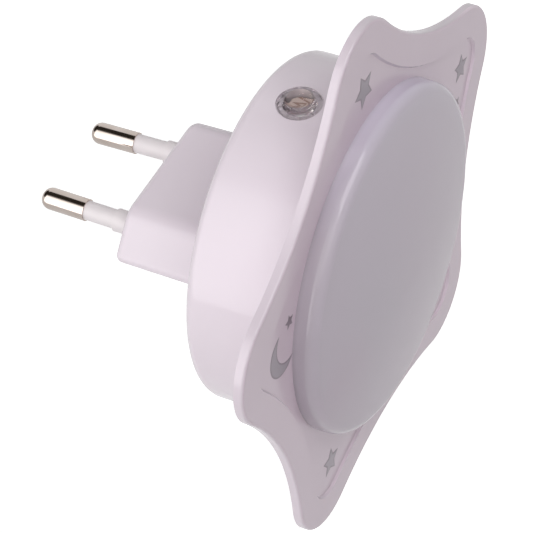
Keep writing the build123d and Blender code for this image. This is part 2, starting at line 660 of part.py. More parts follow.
def transistor_points():
    x, z = TRANSISTOR_AT
    return [(x + i * TRANSISTOR_PITCH, z) for i in (-1, 0, 1)]


def transistor():
    """Half-round switching transistor on three leads."""
    x, z = TRANSISTOR_AT
    base = BOARD_BACK_Y + TRANSISTOR_UP
    behind_flat = Pos(0, TRANSISTOR_FLAT + TRANSISTOR_D / 2) * Rectangle(TRANSISTOR_D, TRANSISTOR_D)
    section = Circle(TRANSISTOR_D / 2) - behind_flat
    body = extrude(plane_at(base, x, z) * section, amount=-TRANSISTOR_H)
    for px, pz in transistor_points():
        body += rod(px, pz, base + EPS, BOARD_LEAD_Y, SMALL_LEAD_D)
    return body


def cell_points():
    return [(-CELL_LEAD_PITCH / 2, CELL_LEAD_Z), (CELL_LEAD_PITCH / 2, CELL_LEAD_Z)]


def photocell():
    """Light-dependent resistor under the clear lens, on two leads bent to the board."""
    top = SENSOR_SEAT_Z - SENSOR_SPIGOT - CELL_GAP
    section = Circle(CELL_L / 2) & Rectangle(CELL_L, CELL_W)
    body = extrude(Plane(origin=(0, SENSOR_Y, top - CELL_T)) * section, amount=CELL_T)
    for x, z in cell_points():
        path = [(x, SENSOR_Y, top - CELL_T + EPS), (x, SENSOR_Y, z), (x, BOARD_LEAD_Y, z)]
        body += tube_path(path, CELL_LEAD_BEND, CELL_LEAD_D)
    return body


def sensor_lens():
    """Clear flanged window with a low rounded top and a plain spigot."""
    beyond_flat = Pos(0, SENSOR_FLAT + SENSOR_FLANGE_D / 2) * Rectangle(SENSOR_FLANGE_D, SENSOR_FLANGE_D)
    flange = Circle(SENSOR_FLANGE_D / 2) - beyond_flat
    window = sensor_cylinder(SENSOR_SEAT_Z, SENSOR_LENS_D, SENSOR_FLANGE_T + SENSOR_DOME_H)
    window = fillet(window.edges().sort_by(Axis.Z)[-1], SENSOR_DOME_R)
    window += sensor_cylinder(SENSOR_SEAT_Z - SENSOR_SPIGOT, SENSOR_LENS_D, SENSOR_SPIGOT)
    return window + extrude(Plane(origin=(0, SENSOR_Y, SENSOR_SEAT_Z)) * flange, amount=SENSOR_FLANGE_T)


# ---------------------------------------------------------------- circuit board
def board_holes():
    """Every lead through the board as (x, z, lead diameter)."""
    holes = [(x, z, CAP_LEAD_D) for x, z in pair(FILM_CAP_AT, FILM_CAP_PITCH)]
    small = pair(CAN_AT, CAN_PITCH) + bridge_points() + transistor_points()
    small += axial_points(FUSE_RES_AT, FUSE_RES_PITCH, False)
    small += axial_points(BLEED_RES_AT, BLEED_RES_PITCH, True)
    small += axial_points(ZENER_AT, ZENER_PITCH, True)
    small += cell_points()
    holes += [(x, z, SMALL_LEAD_D) for x, z in small]
    holes += [(side * WIRE_PAD_X, WIRE_PAD_Z, WIRE_CORE_D) for side in (-1, 1)]
    return holes


def circuit_board():
    """Round board that carries everything electrical."""
    face = Circle(BOARD_R)
    for x, z in on_ring(POST_RING_R, POST_ANGLES):
        face -= Pos(x, z) * Circle(BOARD_SCREW_HOLE_D / 2)
    for x, z, d in board_holes():
        face -= Pos(x, z) * Circle((d + HOLE_OVER_LEAD) / 2)
    return extrude(plane_at(BOARD_BACK_Y) * face, amount=BOARD_T)


# ---------------------------------------------------------------- all nodes
def nodes():
    """Node name to shape, or to a list of equal shapes that share one node."""
    out = {
        "rear_housing": rear_housing(),
        "star_front": star_front(),
        "diffuser": diffuser(),
        "reflector": reflector(),
        "circuit_board": circuit_board(),
        "sensor_lens": sensor_lens(),
        "photocell": photocell(),
        "film_capacitor": film_capacitor(),
        "electrolytic_capacitor": electrolytic_capacitor(),
        "bridge_rectifier": bridge_rectifier(),
        "fusible_resistor": axial_part(FUSE_RES_AT, FUSE_RES_PITCH, FUSE_RES_D, FUSE_RES_L, False),
        "bleed_resistor": axial_part(BLEED_RES_AT, BLEED_RES_PITCH, BLEED_RES_D, BLEED_RES_L, True),
        "zener_diode": axial_part(ZENER_AT, ZENER_PITCH, ZENER_D, ZENER_L, True),
        "transistor": transistor(),
        "housing_screws": housing_screws(),
        "board_screws": board_screws(),
    }
    for name, side in (("left", -1), ("right", 1)):
        out["pin_" + name] = plug_pin(side)
        out["pin_sleeve_" + name] = pin_sleeve(side)
        out["pin_lead_" + name] = pin_lead(side)
    for i, angle in enumerate(led_angles()):
        out["led_%d" % (i + 1)] = led(angle)
    return out


for name, shape in nodes().items():
    if isinstance(shape, list):
        shape = Compound(children=shape)
    shape.label = name
    export_step(shape, "parts/%s.step" % name)
    size = shape.bounding_box().size
    print("%-24s %7.2f x %7.2f x %7.2f  volume %9.1f" % (name, size.X, size.Y, size.Z, shape.volume))
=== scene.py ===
# %% [markdown]
# # A plug-in night light
# This lesson dresses a small mains night light. Its white star plate carries a round milky diffuser, a
# short drum holds the circuit, and a two-pin plug block on the drum's back goes straight into the wall. The
# solids come from a CAD model and stay as they are, so the lesson is about finishes: moulded white plastic,
# a milky cap, nickel-plated pins, a clear sensor window and silver foil.
# Everything is in metres. +X is right as seen from the lit side, +Z is up and +Y runs into the wall.

# %% Load the fixed frame
import math

import bmesh
import bpy
from mathutils import Matrix, Vector


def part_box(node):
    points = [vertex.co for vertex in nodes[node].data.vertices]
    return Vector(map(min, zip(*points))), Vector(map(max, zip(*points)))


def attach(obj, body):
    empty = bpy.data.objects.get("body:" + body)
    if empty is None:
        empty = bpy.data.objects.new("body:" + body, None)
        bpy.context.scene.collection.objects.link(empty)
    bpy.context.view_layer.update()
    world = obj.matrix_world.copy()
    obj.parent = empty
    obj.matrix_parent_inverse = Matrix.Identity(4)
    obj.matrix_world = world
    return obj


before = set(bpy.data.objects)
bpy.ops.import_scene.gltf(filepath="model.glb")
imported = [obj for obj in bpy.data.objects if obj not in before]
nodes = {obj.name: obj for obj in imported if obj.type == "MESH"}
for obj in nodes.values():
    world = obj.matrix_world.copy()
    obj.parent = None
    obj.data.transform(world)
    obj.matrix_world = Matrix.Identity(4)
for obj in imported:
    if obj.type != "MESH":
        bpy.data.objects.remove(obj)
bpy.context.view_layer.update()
MM = 0.001
BODY = "root"

# %% [markdown]
# ## Where the camera stands
# The light is seen from its upper left, a little in front of the star plate, so that the lit side, the drum
# and the pins all show. A camera can be placed by typing its matrix, but a target with two angles, a roll
# and a distance says the same in values that a reader can picture. The long lens keeps the small object
# free of strong perspective.

# %% Camera
CAMERA_TARGET = Vector((-0.67, -19.91, -10.57)) * MM
CAMERA_DISTANCE = 456.12 * MM
CAMERA_AZIMUTH = math.radians(-58.72)
CAMERA_ELEVATION = math.radians(45.91)
CAMERA_ROLL = math.radians(-6.47)
CAMERA_LENS = 175.26
CAMERA_SENSOR = 36.0
CAMERA_NEAR = 0.01   # metres; nothing nearer is drawn


def direction(azimuth, elevation):
    """Unit vector at these angles: azimuth 0 is in front of the star, positive is to its right."""
    flat = math.cos(elevation)
    return Vector((math.sin(azimuth) * flat, -math.cos(azimuth) * flat, math.sin(elevation)))


def aimed(position, target, roll=0.0):
    """Matrix of a lamp or camera at position that points at target."""
    look = (target - position).to_track_quat("-Z", "Y").to_matrix().to_4x4()
    return Matrix.Translation(position) @ look @ Matrix.Rotation(roll, 4, "Z")


camera = bpy.data.objects.new("camera", bpy.data.cameras.new("camera"))
bpy.context.scene.collection.objects.link(camera)
camera.data.lens = CAMERA_LENS
camera.data.sensor_width = CAMERA_SENSOR
camera.data.clip_start = CAMERA_NEAR
camera_place = CAMERA_TARGET + direction(CAMERA_AZIMUTH, CAMERA_ELEVATION) * CAMERA_DISTANCE
camera.matrix_world = aimed(camera_place, CAMERA_TARGET, CAMERA_ROLL)
bpy.context.scene.camera = camera
bpy.context.scene.view_settings.view_transform = "Standard"
print("camera at", [round(v, 4) for v in camera_place])

# %% [markdown]
# ## Short words for shader nodes
# A shader is a graph of small nodes. Making one node and linking it takes four or five lines, and this
# lesson needs dozens, so a few helpers do it in one call. They take sockets or plain numbers and give back
# the new node's output, so calls nest like a formula.

# %% Node helpers
PURE_WHITE = (1.0, 1.0, 1.0, 1.0)


def feed(tree, socket, value):
    """Link a socket to a socket, or set it to a number or colour."""
    if isinstance(value, (int, float, tuple)):
        socket.default_value = value
    else:
        tree.links.new(value, socket)


def add_noise(tree, vector, scale, detail):
    """Noise texture node on a position, in features per metre."""
    noise = tree.nodes.new("ShaderNodeTexNoise")
    noise.inputs["Detail"].default_value = detail
    tree.links.new(vector, noise.inputs["Vector"])
    feed(tree, noise.inputs["Scale"], scale)
    return noise.outputs["Fac"]


def add_math(tree, operation, first, second=0.0):
    """Math node on two sockets or numbers; returns its output."""
    made = tree.nodes.new("ShaderNodeMath")
    made.operation = operation
    feed(tree, made.inputs[0], first)
    feed(tree, made.inputs[1], second)
    return made.outputs[0]


def add_mix(tree, factor, first, second, blend="MIX"):
    """Colour mix node, whose colours are its inputs 6 and 7 and its output 2."""
    made = tree.nodes.new("ShaderNodeMix")
    made.data_type = "RGBA"
    made.blend_type = blend
    for socket, value in ((made.inputs[0], factor), (made.inputs[6], first), (made.inputs[7], second)):
        feed(tree, socket, value)
    return made.outputs[2]


def add_range(tree, value, low, high, from_low=0.0, from_high=1.0):
    """Map range node; low and high may be sockets."""
    made = tree.nodes.new("ShaderNodeMapRange")
    made.inputs["From Min"].default_value = from_low
    made.inputs["From Max"].default_value = from_high
    tree.links.new(value, made.inputs["Value"])
    feed(tree, made.inputs["To Min"], low)
    feed(tree, made.inputs["To Max"], high)
    return made.outputs["Result"]


def mix_shaders(tree, factor, first, second):
    """Mix shader node on three sockets; returns its output."""
    made = tree.nodes.new("ShaderNodeMixShader")
    for socket, value in zip(made.inputs, (factor, first, second)):
        tree.links.new(value, socket)
    return made.outputs[0]


def split_axes(tree, vector):
    """The x, y and z of a vector socket."""
    split = tree.nodes.new("ShaderNodeSeparateXYZ")
    tree.links.new(vector, split.inputs[0])
    return split.outputs


def object_place(tree):
    """Place on the object, in metres, as one socket."""
    return tree.nodes.new("ShaderNodeTexCoord").outputs["Object"]


def object_axes(tree):
    """Sockets of the x, y and z place on the object, in metres."""
    return split_axes(tree, object_place(tree))


def normal_axes(tree):
    """Sockets of the x, y and z of the surface's direction."""
    return split_axes(tree, tree.nodes.new("ShaderNodeNewGeometry").outputs["Normal"])


def distance_from(tree, first, second):
    """Distance from an axis, given the two places across it as sockets."""
    squares = [add_math(tree, "MULTIPLY", place, place) for place in (first, second)]
    return add_math(tree, "SQRT", add_math(tree, "ADD", *squares))


def add_bump(tree, height, strength, distance):
    """Bump node from a height socket to the normal of the material's shader."""
    bump = tree.nodes.new("ShaderNodeBump")
    bump.inputs["Strength"].default_value = strength
    bump.inputs["Distance"].default_value = distance
    tree.links.new(height, bump.inputs["Height"])
    tree.links.new(bump.outputs["Normal"], tree.nodes["Principled BSDF"].inputs["Normal"])


print("node helpers are ready")

# %% [markdown]
# ## White surroundings
# White goods are hard to show on white: the paper must be paler than the object, yet more light would
# bleach it. So the world and the floor look white to the camera and to reflections, while the light that
# they really give stays mild. Polished metal needs something dark to reflect too, or it turns into a flat
# cream. So the unlit gap that runs from the studio's ceiling down behind the plug is left dark, and the
# camera itself never sees it.

# %% World
WORLD_LIGHT = 0.16
DARK_GAPS = [
    # (direction, degrees from its middle to where it fades out, degrees to where it is fully dark)
    ((0.03, 0.36, 0.93), 28.0, 22.0),
    ((0.12, 0.83, 0.42), 30.0, 22.0),
]
DARK_GAP = (0.03, 0.025, 0.02, 1.0)


def seen_rays(tree):
    """Socket that is 1 for camera, glossy and transmitted rays, and the socket for camera rays alone."""
    rays = tree.nodes.new("ShaderNodeLightPath").outputs
    seen = add_math(tree, "MAXIMUM", rays["Is Camera Ray"], rays["Is Glossy Ray"])
    return add_math(tree, "MAXIMUM", seen, rays["Is Transmission Ray"]), rays["Is Camera Ray"]


world = bpy.data.worlds.new("studio")
world.use_nodes = True
bpy.context.scene.world = world
tree = world.node_tree
ambient = tree.nodes["Background"]
ambient.inputs["Color"].default_value = PURE_WHITE
ambient.inputs["Strength"].default_value = WORLD_LIGHT
seen, camera_only = seen_rays(tree)
way = tree.nodes.new("ShaderNodeTexCoord").outputs["Generated"]
gaps = []
for middle, fade, dark in DARK_GAPS:
    toward = tree.nodes.new("ShaderNodeVectorMath")
    toward.operation = "DOT_PRODUCT"
    toward.inputs[1].default_value = Vector(middle).normalized()
    tree.links.new(way, toward.inputs[0])
    limits = [math.cos(math.radians(angle)) for angle in (fade, dark)]
    gap = add_range(tree, toward.outputs["Value"], 0.0, 1.0, *limits)
    gap.node.interpolation_type = "SMOOTHSTEP"
    gaps.append(gap)
unseen_gap = add_math(tree, "SUBTRACT", add_math(tree, "MAXIMUM", *gaps), camera_only)
unseen_gap.node.use_clamp = True
white = tree.nodes.new("ShaderNodeBackground")
white.inputs["Strength"].default_value = 1.0
tree.links.new(add_mix(tree, unseen_gap, PURE_WHITE, DARK_GAP), white.inputs["Color"])
studio = mix_shaders(tree, seen, ambient.outputs[0], white.outputs[0])
tree.links.new(studio, tree.nodes["World Output"].inputs["Surface"])
print("world light:", WORLD_LIGHT, "dark gaps:", len(gaps))

# %% [markdown]
# ## The paper
# The floor lies well below the light, which normally hangs on a wall, and keeps a soft shadow. It glows for
# the camera alone, and a second, even glow is for reflections, so neither throws light on the object.
# Further out, where the lamps fade, it glows more, so that it stays white from every side. From below it is
# clear, for a wall light is also seen from there.

# %% Floor
FLOOR_DROP = 0.16
FLOOR_HALF = 3.0
FLOOR_PAPER = (0.93, 0.93, 0.93, 1.0)
FLOOR_ROUGHNESS = 0.9
FLOOR_GLOW = (0.5, 0.86)        # near the middle and far out
FLOOR_GLOW_REACH = (0.2, 0.7)   # metres from the middle
FLOOR_MIRRORED = 0.85

floor_mesh = bpy.data.meshes.new("floor")
corners = [(x * FLOOR_HALF, y * FLOOR_HALF, -FLOOR_DROP) for x, y in ((-1, -1), (1, -1), (1, 1), (-1, 1))]
floor_mesh.from_pydata(corners, [], [(0, 1, 2, 3)])
floor = bpy.data.objects.new("floor", floor_mesh)
bpy.context.scene.collection.objects.link(floor)
paper = bpy.data.materials.new("floor_paper")
paper.use_nodes = True
tree = paper.node_tree
sheet = tree.nodes["Principled BSDF"]
sheet.inputs["Base Color"].default_value = FLOOR_PAPER
sheet.inputs["Roughness"].default_value = FLOOR_ROUGHNESS
sheet.inputs["Specular IOR Level"].default_value = 0.0
seen, camera_only = seen_rays(tree)
from_middle = tree.nodes.new("ShaderNodeVectorMath")
from_middle.operation = "LENGTH"
tree.links.new(object_place(tree), from_middle.inputs[0])
strength = add_range(tree, from_middle.outputs["Value"], *FLOOR_GLOW, *FLOOR_GLOW_REACH)
glow = tree.nodes.new("ShaderNodeEmission")
tree.links.new(add_math(tree, "MULTIPLY", camera_only, strength), glow.inputs["Strength"])
lit = tree.nodes.new("ShaderNodeAddShader")
tree.links.new(sheet.outputs[0], lit.inputs[0])
tree.links.new(glow.outputs[0], lit.inputs[1])
mirrored = tree.nodes.new("ShaderNodeEmission")
mirrored.inputs["Strength"].default_value = FLOOR_MIRRORED
in_mirror = add_math(tree, "SUBTRACT", seen, camera_only)
seen_floor = mix_shaders(tree, in_mirror, lit.outputs[0], mirrored.outputs[0])
from_below = tree.nodes.new("ShaderNodeNewGeometry").outputs["Backfacing"]
clear = tree.nodes.new("ShaderNodeBsdfTransparent").outputs[0]
floor_look = mix_shaders(tree, from_below, seen_floor, clear)
tree.links.new(floor_look, tree.nodes["Material Output"].inputs["Surface"])
floor_mesh.materials.append(paper)
print("floor at", -FLOOR_DROP)

# %% [markdown]
# ## Lamps
# A glossy white moulding is drawn by what it reflects. One very large soft lamp stands at the left, a
# little behind: it lights the drum and the edge of the star plate, and its lower rim is the faint line that
# runs across the drum. A grid over its front, which Blender calls spread, dims it for whoever sees it at a
# slant. It is aimed low and rises high, so its reflection fades out upwards. Weaker lamps above and in
# front keep the lit side from going grey.

# %% Lamps
LAMPS = {
    # name: (azimuth, elevation, width, height, watts, spread in degrees, rise in its own plane)
    "left_softbox": (-118.0, 5.0, 1.25, 2.0, 7.7, 126.0, 0.56),
    "front_top": (0.0, 65.0, 0.6, 0.6, 2.6, 180.0, 0.0),
    "front_left": (-45.0, 40.0, 0.6, 0.6, 1.05, 180.0, 0.0),
    "top": (0.0, 89.0, 0.6, 0.6, 0.6, 180.0, 0.0),
}
LAMP_DISTANCE = 0.9
for name, (azimuth, elevation, width, height, watts, spread, rise) in LAMPS.items():
    data = bpy.data.lights.new(name, "AREA")
    data.shape = "RECTANGLE"
    data.size = width
    data.size_y = height
    data.energy = watts
    data.spread = math.radians(spread)
    lamp = bpy.data.objects.new(name, data)
    bpy.context.scene.collection.objects.link(lamp)
    place = CAMERA_TARGET + direction(math.radians(azimuth), math.radians(elevation)) * LAMP_DISTANCE
    lamp.matrix_world = aimed(place, CAMERA_TARGET) @ Matrix.Translation((0.0, rise, 0.0))
print("lamps:", sorted(LAMPS))

# %% [markdown]
# ## A group for moulded surfaces
# No moulding is one flat colour. Its tone drifts a little over centimetres, its skin has a fine orange peel
# that breaks up reflections, and its gloss is uneven where the mould is worn. These effects belong to every
# plastic here, so they are one shader node group with named inputs, placed in each material with its own
# values.

# %% Moulded surface group
GREY = (0.8, 0.8, 0.8, 1.0)   # what a colour input shows before a material sets it
DRIFT_RANGE = (0.35, 0.65)    # the part of a noise's 0 to 1 that the mask stretches
WEAR_RANGE = (0.3, 0.7)
WEAR_FINER = 7.0              # wear is this much finer than the drift of the tone
SKIN_OUTPUTS = [("Color", "NodeSocketColor"), ("Roughness", "NodeSocketFloat"), ("Height", "NodeSocketFloat")]


def new_group(name, inputs, outputs):
    """Empty shader node group with named sockets; inputs are (name, type, default)."""
    group = bpy.data.node_groups.new(name, "ShaderNodeTree")
    for socket, kind, default in inputs:
        made = group.interface.new_socket(socket, in_out="INPUT", socket_type=kind)
        made.default_value = default
    for socket, kind in outputs:
        group.interface.new_socket(socket, in_out="OUTPUT", socket_type=kind)
    return group, group.nodes.new("NodeGroupInput"), group.nodes.new("NodeGroupOutput")


def moulded_surface_group():
    """Drifting tone, uneven gloss and orange peel."""
    inputs = [("Tone", "NodeSocketColor", GREY), ("Drift Tone", "NodeSocketColor", GREY),
              ("Drift Scale", "NodeSocketFloat", 40.0), ("Peel Scale", "NodeSocketFloat", 900.0),
              ("Gloss Low", "NodeSocketFloat", 0.2), ("Gloss High", "NodeSocketFloat", 0.3)]
    group, source, sink = new_group("moulded_surface", inputs, SKIN_OUTPUTS)
    given = source.outputs
    place = object_place(group)
    drift = add_noise(group, place, given["Drift Scale"], detail=3.0)
    drift_mask = add_range(group, drift, 0.0, 1.0, *DRIFT_RANGE)
    tone = add_mix(group, drift_mask, given["Tone"], given["Drift Tone"])
    group.links.new(tone, sink.inputs["Color"])
    wear = add_noise(group, place, add_math(group, "MULTIPLY", given["Drift Scale"], WEAR_FINER), detail=5.0)
    gloss = add_range(group, wear, given["Gloss Low"], given["Gloss High"], *WEAR_RANGE)
    group.links.new(gloss, sink.inputs["Roughness"])
    group.links.new(add_noise(group, place, given["Peel Scale"], detail=2.0), sink.inputs["Height"])
    return group


MOULDED_SURFACE = moulded_surface_group()
print("group:", MOULDED_SURFACE.name)

# %% [markdown]
# ## A group for painted shade in corners
# Where two mouldings meet, less light reaches, so the joint reads as a fine grey line. This shade is painted
# into the colour: it could be painted along each edge, but an ambient occlusion mask finds every corner by
# itself. The group gives out the tone already darkened in narrow gaps.

# %% Painted corner shade group
CORNER_SAMPLES = 8
CORNER_REACH = 1.2 * MM
CORNER_RANGE = (0.25, 0.85)   # how open a place is where it is fully dark, and where it is clean


def painted_corner_shade_group():
    """The tone given, darkened in narrow gaps as painted shade."""
    inputs = [("Color", "NodeSocketColor", GREY), ("Shade", "NodeSocketColor", GREY),
              ("Amount", "NodeSocketFloat", 0.5)]
    group, source, sink = new_group("painted_corner_shade", inputs, [("Color", "NodeSocketColor")])
    reach = group.nodes.new("ShaderNodeAmbientOcclusion")
    reach.samples = CORNER_SAMPLES
    reach.inputs["Distance"].default_value = CORNER_REACH
    closed = add_range(group, reach.outputs["AO"], 1.0, 0.0, *CORNER_RANGE)
    share = add_math(group, "MULTIPLY", closed, source.outputs["Amount"])
    shaded = add_mix(group, share, source.outputs["Color"], source.outputs["Shade"])
    group.links.new(shaded, sink.inputs["Color"])
    return group


PAINTED_CORNER_SHADE = painted_corner_shade_group()
print("group:", PAINTED_CORNER_SHADE.name)

# %% [markdown]
# ## Moulded white plastic
# The drum and the star plate are injection-moulded in white resin with a trace of mauve. The drum is
# glossy, so that its lamp reflection has a clear rim, and the star plate has a finer, duller skin.
# Scattering below the skin costs samples, so it is kept for the diffuser.

# %% Plastic materials
PEEL_HEIGHT = 0.1 * MM
SCATTER_RADIUS = (1.0, 0.9, 0.95)
SCATTER_SCALE = 0.8 * MM


def place_group(tree, group, **values):
    """Group node in a material, with its inputs set; underscores in names stand for spaces."""
    made = tree.nodes.new("ShaderNodeGroup")
    made.node_tree = group
    for name, value in values.items():
        made.inputs[name.replace("_", " ")].default_value = value
    return made


def moulded(name, tone, drift_tone, gloss, peel_scale=900.0, peel_depth=0.02, drift_scale=40.0, shade=None,
            shade_amount=0.5, scatter=0.0):
    """Moulded or coated material: group for tone, gloss and skin, painted shade in corners where a shade tone
    is given, and a Principled BSDF.
    """
    material = bpy.data.materials.new(name)
    material.use_nodes = True
    tree = material.node_tree
    shader = tree.nodes["Principled BSDF"]
    surface = place_group(tree, MOULDED_SURFACE, Tone=tone, Drift_Tone=drift_tone, Drift_Scale=drift_scale,
                          Peel_Scale=peel_scale, Gloss_Low=gloss[0], Gloss_High=gloss[1])
    colour = surface.outputs["Color"]
    # painted shade: the corner group darkens the tone in narrow gaps, where less light reaches
    if shade:
        corner = place_group(tree, PAINTED_CORNER_SHADE, Shade=shade, Amount=shade_amount)
        tree.links.new(colour, corner.inputs["Color"])
        colour = corner.outputs["Color"]
    tree.links.new(colour, shader.inputs["Base Color"])
    tree.links.new(surface.outputs["Roughness"], shader.inputs["Roughness"])
    add_bump(tree, surface.outputs["Height"], peel_depth, PEEL_HEIGHT)
    if scatter:
        shader.inputs["Subsurface Weight"].default_value = scatter
        shader.inputs["Subsurface Radius"].default_value = SCATTER_RADIUS
        shader.inputs["Subsurface Scale"].default_value = SCATTER_SCALE
    return material


# the colour of the painted shade in corners
PAINTED_CORNER_SHADE_TONE = (0.45, 0.40, 0.44, 1.0)
HOUSING_SPECULAR = 0.35   # fainter reflections than the usual 0.5 gives
housing_white = moulded("housing_white", (0.80, 0.72, 0.78, 1.0), (0.785, 0.70, 0.765, 1.0), (0.05, 0.09),
                        shade=PAINTED_CORNER_SHADE_TONE)
housing_white.node_tree.nodes["Principled BSDF"].inputs["Specular IOR Level"].default_value = HOUSING_SPECULAR
star_white = moulded("star_white", (0.78, 0.65, 0.74, 1.0), (0.765, 0.63, 0.72, 1.0), (0.14, 0.20),
                     peel_scale=1400.0, peel_depth=0.03, shade=PAINTED_CORNER_SHADE_TONE, shade_amount=0.05)
sleeve_white = moulded("sleeve_white", (0.82, 0.765, 0.78, 1.0), (0.78, 0.725, 0.74, 1.0), (0.35, 0.45),
                       peel_scale=1200.0, peel_depth=0.05)
reflector_white = moulded("reflector_white", (0.85, 0.85, 0.83, 1.0), (0.80, 0.80, 0.78, 1.0), (0.5, 0.6),
                          peel_scale=1500.0, peel_depth=0.1)
print("plastics:", [plastic.name for plastic in (housing_white, star_white, sleeve_white, reflector_white)])

# %% [markdown]
# ## The milky diffuser
# The cap is thin milky plastic. Unlit, it looks grey, because much of the light that enters it gets lost in
# the housing behind. Light and reflection are painted into its colour by place: the top is painted paler and
# bluer, as painted light from above, and the lower right gets a painted reflection of the plate's mauve.
# Real transmission would show the board and cost many samples, so the cap is an opaque surface with some
# scattering, and these painted tones are blended by place. One more mask, along the light's own depth from
# the field out to the shoulder, tells the side wall from the face; the wall has its own painted light, paler
# to the upper right.

# %% Diffuser material
# painted light and a painted reflection on the cap, blended by place
FACE_PAINTED_LIGHT_TOP = (0.655, 0.585, 0.67, 1.0)
FACE_PAINTED_REFLECTION_LOW_RIGHT = (0.56, 0.47, 0.555, 1.0)
WALL_PAINTED_LIGHT_LOW_LEFT = (0.56, 0.505, 0.565, 1.0)
WALL_PAINTED_LIGHT_TOP = (0.69, 0.64, 0.75, 1.0)
WALL_FROM_FACE = (-45.4 * MM, -43.6 * MM)   # along y, from the face over the shoulder to the wall
FACE_TOP = (-6.0 * MM, 32.0 * MM)           # along z
WALL_TOP = (2.0 * MM, 36.0 * MM)            # along x + z, to the upper right
LOW_RIGHT = (-10.0 * MM, 44.0 * MM)         # along x - z
# the colour of the painted shade in the cap's corners
DIFFUSER_PAINTED_SHADE = (0.22, 0.19, 0.22, 1.0)


def diffuser_material():
    """Milky cap with painted light and a painted reflection, blended from low to top and from face to wall.
    """
    material = moulded("diffuser_milky", (0.555, 0.49, 0.57, 1.0), (0.565, 0.47, 0.56, 1.0), (0.07, 0.12),
                       peel_scale=1100.0, peel_depth=0.03, drift_scale=25.0, shade=DIFFUSER_PAINTED_SHADE,
                       shade_amount=0.3, scatter=0.15)
    tree = material.node_tree
    corner = next(n for n in tree.nodes if n.type == "GROUP" and n.node_tree == PAINTED_CORNER_SHADE)
    face_tone_and_light = corner.inputs["Color"].links[0].from_socket
    x, y, z = object_axes(tree)
    to_low_right = add_range(tree, add_math(tree, "SUBTRACT", x, z), 0.0, 1.0, *LOW_RIGHT)
    face_tone_and_light = add_mix(tree, to_low_right, face_tone_and_light, FACE_PAINTED_REFLECTION_LOW_RIGHT)
    face_tone_and_light = add_mix(tree, add_range(tree, z, 0.0, 1.0, *FACE_TOP), face_tone_and_light, FACE_PAINTED_LIGHT_TOP)
    to_top_right = add_range(tree, add_math(tree, "ADD", x, z), 0.0, 1.0, *WALL_TOP)
    wall_painted_light = add_mix(tree, to_top_right, WALL_PAINTED_LIGHT_LOW_LEFT, WALL_PAINTED_LIGHT_TOP)
    wall = add_range(tree, y, 0.0, 1.0, *WALL_FROM_FACE)
    tree.links.new(add_mix(tree, wall, face_tone_and_light, wall_painted_light), corner.inputs["Color"])
    return material


diffuser_milky = diffuser_material()
print("material:", diffuser_milky.name)

# %% [markdown]
# ## Painted light and shade on the plate
# The plate's edges, which the big lamp fills, are painted darker and less mauve than its faces, as painted
# shade, and the sheltered side of the sloping step round the sunk field is painted paler, as painted light,
# so that it shows no dark line. Two masks place them: one by the surface's direction, one by the place on
# the step.

# %% Plate edges and step
# painted shade on the plate's edges and painted light on the sheltered step
EDGE_PAINTED_SHADE = (0.72, 0.635, 0.70, 1.0)
EDGE_FACING = (-0.9, -0.5)          # y of the surface's direction, from the plate's face to its edge
STEP_PAINTED_LIGHT = (0.83, 0.70, 0.79, 1.0)
FIELD_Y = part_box("diffuser")[1].y   # the cap's back edge lies on the sunk field
FIELD_DEPTH = 0.5 * MM
STEP_MIDDLE_Y = FIELD_Y - FIELD_DEPTH / 2
STEP_HALF = (0.26 * MM, 0.2 * MM)         # from the middle, where the tone starts and where it is full
STEP_SHELTERED = (10.0 * MM, 16.0 * MM)   # along x - z, to the lower right


def paint_plate_light_and_shade(material):
    """Painted shade on the edges, and painted light on the step at the lower right of the sunk field."""
    tree = material.node_tree
    shader = tree.nodes["Principled BSDF"]
    sideways = add_range(tree, normal_axes(tree)[1], 0.0, 1.0, *EDGE_FACING)
    skin = add_mix(tree, sideways, shader.inputs["Base Color"].links[0].from_socket, EDGE_PAINTED_SHADE)
    x, y, z = object_axes(tree)
    away = add_math(tree, "ABSOLUTE", add_math(tree, "SUBTRACT", y, STEP_MIDDLE_Y))
    on_step = add_range(tree, away, 0.0, 1.0, *STEP_HALF)
    sheltered = add_range(tree, add_math(tree, "SUBTRACT", x, z), 0.0, 1.0, *STEP_SHELTERED)
    step = add_math(tree, "MULTIPLY", on_step, sheltered)
    tree.links.new(add_mix(tree, step, skin, STEP_PAINTED_LIGHT), shader.inputs["Base Color"])


paint_plate_light_and_shade(star_white)
print("edges and step:", star_white.name)

# %% [markdown]
# ## Nickel-plated pins
# The pins are turned brass with a bright nickel plate. Under the plate the lathe's rings run round the pin,
# so the highlight spreads along it and stays sharp across it. Rings made by a wave texture along the pin's
# own axis do this with no extra geometry.

# %% Turned metal group and material
RING_DISTORTION = 1.5
RING_DETAIL = 2.0
RING_HEIGHT = 0.02 * MM
STAIN_SCALE = 300.0
STAIN_RANGE = (0.35, 0.75)
STAINED = (0.86, 0.84, 0.80, 1.0)   # the metal's tone is multiplied by this where it is stained


